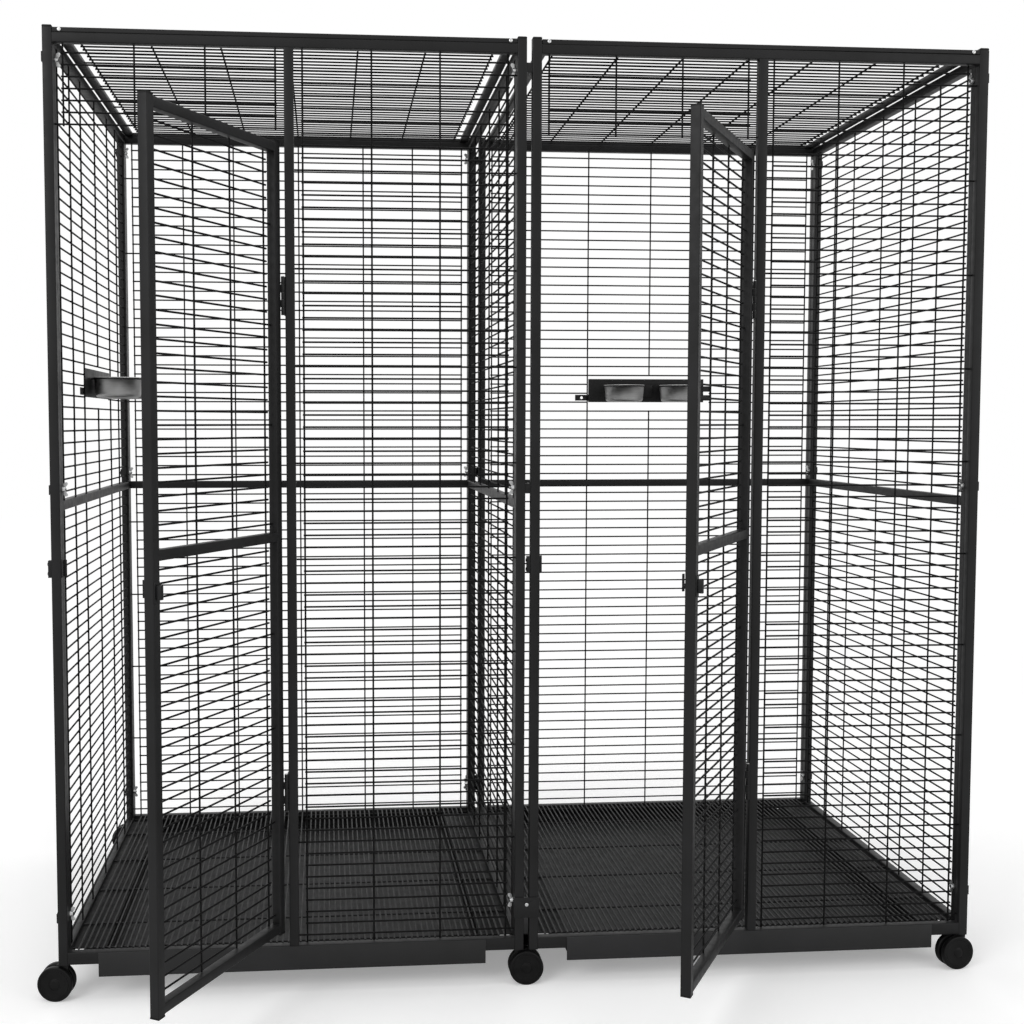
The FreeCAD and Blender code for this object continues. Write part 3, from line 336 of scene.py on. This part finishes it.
def netTree():
    tree, given, result = newTree("weldedNet", ("Wire Radius", "Float"), ("Sides", "Int"),
                                  ("Weld Radius", "Float"), ("Finish", "Material"))
    spines = addNode(tree, "MeshToCurve", Mesh=given["Geometry"])
    circle = addNode(tree, "CurvePrimitiveCircle", Resolution=given["Sides"], Radius=given["Wire Radius"])
    wires = addNode(tree, "CurveToMesh", Curve=spines.outputs["Curve"], Profile_Curve=circle.outputs["Curve"],
                    Fill_Caps=True)
    weldMark = tree.nodes.new("GeometryNodeInputNamedAttribute")
    weldMark.data_type = "BOOLEAN"
    weldMark.inputs["Name"].default_value = "weld"
    spots = addNode(tree, "MeshToPoints", Mesh=given["Geometry"], Selection=weldMark.outputs["Attribute"])
    nugget = addNode(tree, "MeshIcoSphere", Radius=given["Weld Radius"], Subdivisions=1)
    welds = addNode(tree, "InstanceOnPoints", Points=spots.outputs["Points"], Instance=nugget.outputs["Mesh"])
    joined = addNode(tree, "JoinGeometry")
    tree.links.new(welds.outputs["Instances"], joined.inputs["Geometry"])
    tree.links.new(wires.outputs["Mesh"], joined.inputs["Geometry"])
    real = addNode(tree, "RealizeInstances", Geometry=joined.outputs["Geometry"])
    soft = addNode(tree, "SetShadeSmooth", Geometry=real.outputs["Geometry"])
    coated = addNode(tree, "SetMaterial", Geometry=soft.outputs["Geometry"], Material=given["Finish"])
    tree.links.new(coated.outputs["Geometry"], result["Geometry"])
    return tree


def looseParts(node):
    mesh = nodes[node].data
    points = np.array([vertex.co for vertex in mesh.vertices])
    welded, where = np.unique(np.round(points, 6), axis=0, return_inverse=True)
    where = where.reshape(-1)
    edges = where[np.array([edge.vertices[:] for edge in mesh.edges])]
    labels = np.arange(len(welded))
    while True:
        before = labels.copy()
        lower = np.minimum(labels[edges[:, 0]], labels[edges[:, 1]])
        np.minimum.at(labels, edges[:, 0], lower)
        np.minimum.at(labels, edges[:, 1], lower)
        labels = labels[labels]
        if (labels == before).all():
            return [welded[labels == label] for label in np.unique(labels)]


def wireSpan(points):
    centre = (points.min(0) + points.max(0)) / 2
    axis = np.linalg.svd(points - centre, full_matrices=False)[2][0]
    along = (points - centre) @ axis
    radius = np.linalg.norm(points - centre - np.outer(along, axis), axis=1).max()
    return centre + axis * along.min(), centre + axis * along.max(), radius


def crossings(starts, ends, reach):
    spots = []
    axes = (ends - starts) / np.linalg.norm(ends - starts, axis=1)[:, None]
    rows = np.abs(axes @ axes[0]) > 0.5
    lengths = np.linalg.norm(ends - starts, axis=1)
    for index in np.nonzero(rows)[0]:
        for other in np.nonzero(~rows)[0]:
            between = starts[other] - starts[index]
            along, across = between @ axes[index], -between @ axes[other]
            if -reach < along < lengths[index] + reach and -reach < across < lengths[other] + reach:
                first = starts[index] + axes[index] * along
                second = starts[other] + axes[other] * across
                if np.linalg.norm(first - second) < reach:
                    spots.append((first + second) / 2)
    return spots


weldedNet = netTree()


def makeNet(node):
    spans = [wireSpan(points) for points in looseParts(node)]
    radius = float(np.median([span[2] for span in spans]))
    starts = np.array([span[0] for span in spans])
    ends = np.array([span[1] for span in spans])
    spots = crossings(starts, ends, radius * netLooks["weldReach"])
    seed = bpy.data.meshes.new(node + "Seed")
    points = [point for pair in zip(starts, ends) for point in pair] + spots
    seed.from_pydata([tuple(point) for point in points], [(2 * i, 2 * i + 1) for i in range(len(spans))], [])
    mark = seed.attributes.new("weld", "BOOLEAN", "POINT")
    mark.data.foreach_set("value", [False] * (2 * len(spans)) + [True] * len(spots))
    # the grates take the paler tray coat with painted light in it
    mesh = grown(weldedNet, seed, node + "Wires", {
        "Wire Radius": radius, "Sides": netLooks["sides"], "Weld Radius": netLooks["weldRadius"],
        "Finish": paintedLightTrayCoat if node.endswith("_grate") else finishes[slotOf[node]]})
    return addPiece(node + "Wires", mesh, node)


netNodes = [node for node in nodes if node.endswith("_net") or node.endswith("_grate")]
for node in netNodes:
    makeNet(node)
print("nets:", len(netNodes))


# turned pieces: a profile of (radius, height) spun round an axis

def turned(profile, place, steps):
    bm = bmesh.new()
    uv = bm.loops.layers.uv.new("UVMap")
    rings = []
    for radius, height in profile:
        if radius < 1e-7:
            rings.append([bm.verts.new(place @ Vector((0, 0, height)))] * (steps + 1))
            continue
        ring = [bm.verts.new(place @ Vector((radius * math.cos(math.tau * step / steps),
                                             radius * math.sin(math.tau * step / steps), height)))
                for step in range(steps)]
        rings.append(ring + ring[:1])
    runs = [0.0]
    for (r0, h0), (r1, h1) in zip(profile, profile[1:]):
        runs.append(runs[-1] + math.hypot(r1 - r0, h1 - h0))
    for row in range(len(profile) - 1):
        for step in range(steps):
            corners = [(row, step), (row, step + 1), (row + 1, step + 1), (row + 1, step)]
            verts = []
            for r, s in corners:
                if rings[r][s] not in [vert for vert, _, _ in verts]:
                    verts.append((rings[r][s], r, s))
            if len(verts) < 3:
                continue
            face = bm.faces.new([vert for vert, _, _ in verts])
            for loop, (_, r, s) in zip(face.loops, verts):
                loop[uv].uv = (s / steps, runs[r] / runs[-1])
    bmesh.ops.recalc_face_normals(bm, faces=bm.faces)
    return bm


def rounded(corners, radius, steps=5):
    out = [corners[0]]
    for before, corner, after in zip(corners, corners[1:], corners[2:]):
        before, corner, after = Vector(before), Vector(corner), Vector(after)
        back, on = (before - corner), (after - corner)
        cut = min(radius, back.length * 0.45, on.length * 0.45)
        start, end = corner + back.normalized() * cut, corner + on.normalized() * cut
        for step in range(steps + 1):
            t = step / steps
            out.append(tuple((1 - t) ** 2 * start + 2 * t * (1 - t) * corner + t ** 2 * end))
    out.append(corners[-1])
    return out


# feeding bowls: spun steel with a soft foot and a rolled rim
bowlLooks = {"wall": 0.0012, "footRound": 0.009, "rimRadius": 0.0021, "rimInset": 0.0025,
             "taper": 0.004, "rimStart": 0.2, "lipDrop": 0.4, "rimSteps": 8, "steps": 96}


def makeBowl(node):
    low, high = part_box(node)
    centre = (low + high) / 2
    rimOuter = (high.x - low.x) / 2
    height = high.z - low.z
    wall, rim = bowlLooks["wall"], bowlLooks["rimRadius"]
    side = rimOuter - bowlLooks["rimInset"]
    foot = side - bowlLooks["taper"]
    outer = rounded([(0, 0), (foot, 0), (side, height - 2 * rim)], bowlLooks["footRound"])
    rolled = [(rimOuter - rim + rim * math.sin(angle), height - rim - rim * math.cos(angle))
              for angle in np.linspace(bowlLooks["rimStart"], math.pi, bowlLooks["rimSteps"])]
    lip = height - rim * bowlLooks["lipDrop"]
    inner = rounded([(side - wall, lip), (foot - wall, wall), (0, wall)], bowlLooks["footRound"])
    place = Matrix.Translation((centre.x, centre.y, low.z))
    bm = turned(outer + rolled + inner, place, bowlLooks["steps"])
    addPiece(node + "Spun", meshFrom(bm, node + "Spun"), node)


for side in sides:
    for name in ("bowl_a", "bowl_b"):
        makeBowl("%s_%s" % (side, name))
print("bowls spun")


# castor wheels: a pair of moulded discs with a rounded tyre, a rim groove and a hub cap
wheelLooks = {"radius": 0.0375, "width": 0.014, "inner": 0.0045, "tyreRound": 0.0045, "grooveAt": 0.0295,
              "grooveWidth": 0.0016, "grooveDepth": 0.0009, "bore": 0.0041, "edgeDrop": 0.0002, "lipDrop": 0.0004,
              "sharp": math.radians(40), "steps": 72}
# (radius, depth below the face) from the dished web over the hub cap to its middle
wheelCover = ((0.022, 0.0013), (0.0122, 0.0016), (0.0118, 0.0022), (0.011, 0.0018), (0.0088, 0.0008),
              (0.00495, 0.0004), (0, 0.0003))


def makeWheels(number):
    node = "castor_wheel_%d" % number
    joint = joints["castor_%d_roll" % number]
    axis = Vector(joint["axis"]).normalized()
    radius, width, inner = wheelLooks["radius"], wheelLooks["width"], wheelLooks["inner"]
    at, wide, deep = (wheelLooks[key] for key in ("grooveAt", "grooveWidth", "grooveDepth"))
    face = inner + width
    tyre = [(wheelLooks["bore"], inner), (radius, inner), (radius, face), (at + wide, face - wheelLooks["edgeDrop"])]
    profile = rounded(tyre, wheelLooks["tyreRound"], 6)
    profile += [(at + wide * 0.7, face - deep), (at + wide * 0.3, face - deep), (at, face - wheelLooks["lipDrop"])]
    profile += [(reach, face - depth) for reach, depth in wheelCover]
    bm = bmesh.new()
    for direction in (axis, -axis):
        turn = direction.to_track_quat("Z", "Y").to_matrix().to_4x4()
        half = turned(profile, Matrix.Translation(Vector(joint["pos_m"])) @ turn, wheelLooks["steps"])
        mesh = meshFrom(half, node + "Half")
        bm.from_mesh(mesh)
        bpy.data.meshes.remove(mesh)
    mesh = meshFrom(bm, node + "Turned")
    mesh.set_sharp_from_angle(angle=wheelLooks["sharp"])
    addPiece(node + "Turned", mesh, node)


for number in range(1, 7):
    makeWheels(number)
print("castor wheels turned")


# fasteners: one detailed nut, bolt and screw each, set out on the CAD places
fastenerSharp = math.radians(35)


def fastenerTree():
    tree, given, result = newTree("setOutFasteners", ("Fastener", "Object"), ("Finish", "Material"))
    spots = addNode(tree, "MeshToPoints", Mesh=given["Geometry"])
    fastener = addNode(tree, "ObjectInfo", Object=given["Fastener"])
    turnMark = tree.nodes.new("GeometryNodeInputNamedAttribute")
    turnMark.data_type = "FLOAT_VECTOR"
    turnMark.inputs["Name"].default_value = "turn"
    turn = tree.nodes.new("FunctionNodeEulerToRotation")
    tree.links.new(turnMark.outputs["Attribute"], turn.inputs["Euler"])
    placed = addNode(tree, "InstanceOnPoints", Points=spots.outputs["Points"],
                     Instance=fastener.outputs["Geometry"], Rotation=turn.outputs["Rotation"])
    real = addNode(tree, "RealizeInstances", Geometry=placed.outputs["Instances"])
    plated = addNode(tree, "SetMaterial", Geometry=real.outputs["Geometry"], Material=given["Finish"])
    tree.links.new(plated.outputs["Geometry"], result["Geometry"])
    return tree


setOut = fastenerTree()


def setFasteners(name, node, master, places):
    seed = bpy.data.meshes.new(name + "Seed")
    seed.from_pydata([tuple(spot) for spot, _ in places], [], [])
    turns = seed.attributes.new("turn", "FLOAT_VECTOR", "POINT")
    eulers = [direction.to_track_quat("Z", "Y").to_euler() for _, direction in places]
    turns.data.foreach_set("vector", [angle for euler in eulers for angle in euler])
    return grown(setOut, seed, name, {"Fastener": master, "Finish": finishes[slotOf[node]]})


def headSpots(node):
    spots = []
    for points in looseParts(node):
        low, high = points.min(0), points.max(0)
        axis = int(np.argmax(high - low))
        middle = (low + high) / 2
        others = [i for i in range(3) if i != axis]
        reach = np.hypot(points[:, others[0]] - middle[others[0]], points[:, others[1]] - middle[others[1]])
        headEnd = points[reach > reach.max() * 0.95][:, axis].mean()
        direction = Vector((0, 0, 0))
        direction[axis] = 1.0 if headEnd > middle[axis] else -1.0
        tip = middle.copy()
        tip[axis] = high[axis] if headEnd > middle[axis] else low[axis]
        spots.append((Vector(tip), direction, reach.max(), high[axis] - low[axis]))
    return spots


def masterObject(name, bm):
    master = bpy.data.objects.new(name, meshFrom(bm, name))
    master.data.set_sharp_from_angle(angle=fastenerSharp)
    return master


# heads point along +Z with their crown at the origin
headLooks = {"domed": 0.55, "recess": 0.34, "steps": 24, "boltHead": 0.005}
shankLooks = {"bolt": {"shank": 0.003, "height": 0.002}, "screw": {"shank": 0.002, "height": 0.0025}}


def screwMaster(name, head, headHeight, shank, length):
    crown = [(head * math.cos(angle), -headHeight * headLooks["domed"] * (1 - math.sin(angle)))
             for angle in np.linspace(0, math.pi / 2 * 0.72, 6)]
    top = crown[-1]
    recess = head * headLooks["recess"]
    profile = [(0, -length), (shank * 0.7, -length), (shank, -length + shank * 0.4), (shank, -headHeight),
               (head, -headHeight)] + crown
    profile += [(recess, top[1]), (recess * 0.8, top[1] - headHeight * 0.35), (0, top[1] - headHeight * 0.4)]
    lift = -top[1]
    profile = [(radius, height + lift if height > -headHeight * 0.99 else height) for radius, height in profile]
    return masterObject(name, turned(profile, Matrix.Identity(4), headLooks["steps"]))


def makeHeaded(node):
    kinds = {}
    for spot, direction, head, length in headSpots(node):
        kinds.setdefault((round(head, 4), round(length, 4)), []).append((spot, direction))
    bm = bmesh.new()
    for index, ((head, length), places) in enumerate(sorted(kinds.items())):
        looks = shankLooks["bolt" if head > headLooks["boltHead"] else "screw"]
        master = screwMaster("%sMaster%d" % (node, index), head, looks["height"], looks["shank"], length)
        mesh = setFasteners("%sSet%d" % (node, index), node, master, places)
        bm.from_mesh(mesh)
        bpy.data.meshes.remove(mesh)
        bpy.data.objects.remove(master)
    mesh = meshFrom(bm, node + "Set")
    mesh.set_sharp_from_angle(angle=fastenerSharp)
    addPiece(node + "Set", mesh, node)


for node in ("frame_bolts", "bright_screws"):
    makeHeaded(node)


# wing nuts: a tapered hub and two leaf-shaped wings
nutLooks = {"hub": 0.006, "hubTop": 0.0048, "hubHeight": 0.007, "bore": 0.00305, "span": 0.015, "wing": 0.0025,
            "wingLow": 0.0023, "wingHigh": 0.0113}


def wingNutMaster():
    looks = nutLooks
    profile = rounded([(looks["bore"], 0), (looks["hub"], 0), (looks["hubTop"], looks["hubHeight"]),
                       (looks["bore"], looks["hubHeight"])], 0.0007, 3)
    bm = turned(profile + profile[:1], Matrix.Identity(4), headLooks["steps"])
    outline = []
    middle, rise = (looks["hub"] + looks["span"]) / 2, looks["wingHigh"]
    for t in np.linspace(0, 1, 11):    # the wing's edge from hub foot over its tip to the hub top
        angle = math.pi * (0.5 - 1.15 * t) - 0.35
        outline.append((middle + (looks["span"] - middle) * math.cos(angle * 0.9 + 0.2),
                        (looks["wingLow"] + rise) / 2 - (rise - looks["wingLow"]) / 2 * math.sin(angle)))
    root = looks["hubTop"] * 0.9
    outline = [(root, looks["wingLow"])] + outline + [(root, looks["hubHeight"] * 0.95)]
    outline = [(min(x, looks["span"]), min(max(y, looks["wingLow"]), rise)) for x, y in outline]
    for sign in (1, -1):
        half = looks["wing"] / 2
        faces = []
        for depth in (-half, half):
            faces.append([bm.verts.new((depth, sign * x, y)) for x, y in outline])
        bm.faces.new(faces[0])
        bm.faces.new(list(reversed(faces[1])))
        count = len(outline)
        for i in range(count):
            bm.faces.new([faces[0][i], faces[1][i], faces[1][(i + 1) % count], faces[0][(i + 1) % count]])
    bmesh.ops.recalc_face_normals(bm, faces=bm.faces)
    return masterObject("wingNutMaster", bm)


def makeWingNuts():
    places = []
    for points in looseParts("wing_nuts"):
        low, high = points.min(0), points.max(0)
        middle = (low + high) / 2
        hubSide = 1.0 if points[:, 0].mean() < middle[0] else -1.0
        seat = Vector((low[0] if hubSide > 0 else high[0], middle[1], middle[2]))
        places.append((seat, Vector((hubSide, 0, 0))))
    master = wingNutMaster()
    mesh = setFasteners("wingNutSet", "wing_nuts", master, places)
    bpy.data.objects.remove(master)
    addPiece("wingNutSet", mesh, "wing_nuts")


makeWingNuts()
print("fasteners set out")


# studio: pale floor, white surround, soft light from the front left
studio = {"surround": 0.62, "floorSize": 14.0, "floorTone": 0.86, "floorGrain": 3.0, "grainStep": 0.01,
          "floorRough": 0.9, "liftNear": 0.28, "liftFar": 0.46, "liftStart": 2.0, "liftEnd": 7.0}
lamps = {
    "keyLamp": {"power": 95.0, "size": 2.6, "place": (-3.4, -4.2, 3.6), "aim": (0, 0, 1.0)},
    "fillLamp": {"power": 40.0, "size": 3.0, "place": (3.8, -3.6, 2.6), "aim": (0, 0, 1.0)},
    "topLamp": {"power": 60.0, "size": 3.4, "place": (0, 0.4, 4.6), "aim": (0, 0, 0)},
}
photoView = {"sensor": 36.0, "lens": 46.068, "shiftX": 0.0712, "shiftY": -0.0084,
             "place": (-0.4316, -3.285, 1.2307), "tilt": 90 - 3.512, "turn": -4.913}


def makeFloor():
    bm = bmesh.new()
    bmesh.ops.create_grid(bm, x_segments=1, y_segments=1, size=studio["floorSize"])
    floor = bpy.data.objects.new("studioFloor", meshFrom(bm, "studioFloor"))
    bpy.context.scene.collection.objects.link(floor)
    finish, tree, surface = newFinish("studioFloor")
    coords = tree.nodes.new("ShaderNodeTexCoord").outputs["Object"]
    tone = studio["floorTone"]
    grain = rampBetween(tree, noiseOn(tree, coords, studio["floorGrain"]), (tone,) * 3,
                        (tone + studio["grainStep"],) * 3)
    tree.links.new(grain, surface.inputs["Base Color"])
    surface.inputs["Roughness"].default_value = studio["floorRough"]
    surface.inputs["Specular IOR Level"].default_value = 0.0
    away = tree.nodes.new("ShaderNodeVectorMath")    # lamps fade with distance, so the lift grows with it
    away.operation = "LENGTH"
    tree.links.new(coords, away.inputs[0])
    lift = tree.nodes.new("ShaderNodeMapRange")
    for socket, value in (("From Min", "liftStart"), ("From Max", "liftEnd"), ("To Min", "liftNear"),
                          ("To Max", "liftFar")):
        lift.inputs[socket].default_value = studio[value]
    tree.links.new(away.outputs["Value"], lift.inputs["Value"])
    path = tree.nodes.new("ShaderNodeLightPath")    # it shows only where the floor is looked at
    seen = tree.nodes.new("ShaderNodeMath")
    seen.operation = "MULTIPLY"
    tree.links.new(path.outputs["Is Camera Ray"], seen.inputs[0])
    tree.links.new(lift.outputs["Result"], seen.inputs[1])
    surface.inputs["Emission Color"].default_value = (1, 1, 1, 1)
    tree.links.new(seen.outputs["Value"], surface.inputs["Emission Strength"])
    floor.data.materials.append(finish)


def makeWorld():
    world = bpy.data.worlds.new("studioWorld")
    bpy.context.scene.world = world
    world.use_nodes = True
    tree = world.node_tree
    background = tree.nodes["Background"]
    path = tree.nodes.new("ShaderNodeLightPath")
    seen = tree.nodes.new("ShaderNodeMath")
    seen.operation = "MAXIMUM"
    tree.links.new(path.outputs["Is Camera Ray"], seen.inputs[0])
    tree.links.new(path.outputs["Is Glossy Ray"], seen.inputs[1])
    strength = tree.nodes.new("ShaderNodeMapRange")
    strength.inputs["To Min"].default_value = studio["surround"]
    strength.inputs["To Max"].default_value = 1.0
    tree.links.new(seen.outputs["Value"], strength.inputs["Value"])
    background.inputs["Color"].default_value = (1, 1, 1, 1)
    tree.links.new(strength.outputs["Result"], background.inputs["Strength"])


def addLamp(name, power, size, place, aim):
    lamp = bpy.data.lights.new(name, "AREA")
    lamp.energy = power
    lamp.size = size
    holder = bpy.data.objects.new(name, lamp)
    holder.location = place
    holder.rotation_euler = (Vector(aim) - Vector(place)).to_track_quat("-Z", "Y").to_euler()
    bpy.context.scene.collection.objects.link(holder)


def makeCamera():
    lens = bpy.data.cameras.new("photoCamera")
    lens.sensor_width = photoView["sensor"]
    lens.lens = photoView["lens"]
    lens.shift_x = photoView["shiftX"]
    lens.shift_y = photoView["shiftY"]
    camera = bpy.data.objects.new("photoCamera", lens)
    camera.location = photoView["place"]
    camera.rotation_euler = (math.radians(photoView["tilt"]), 0, math.radians(photoView["turn"]))
    bpy.context.scene.collection.objects.link(camera)
    bpy.context.scene.camera = camera


makeFloor()
makeWorld()
for name, looks in lamps.items():
    addLamp(name, **looks)
makeCamera()
bpy.context.scene.view_settings.view_transform = "Standard"
print("studio ready")
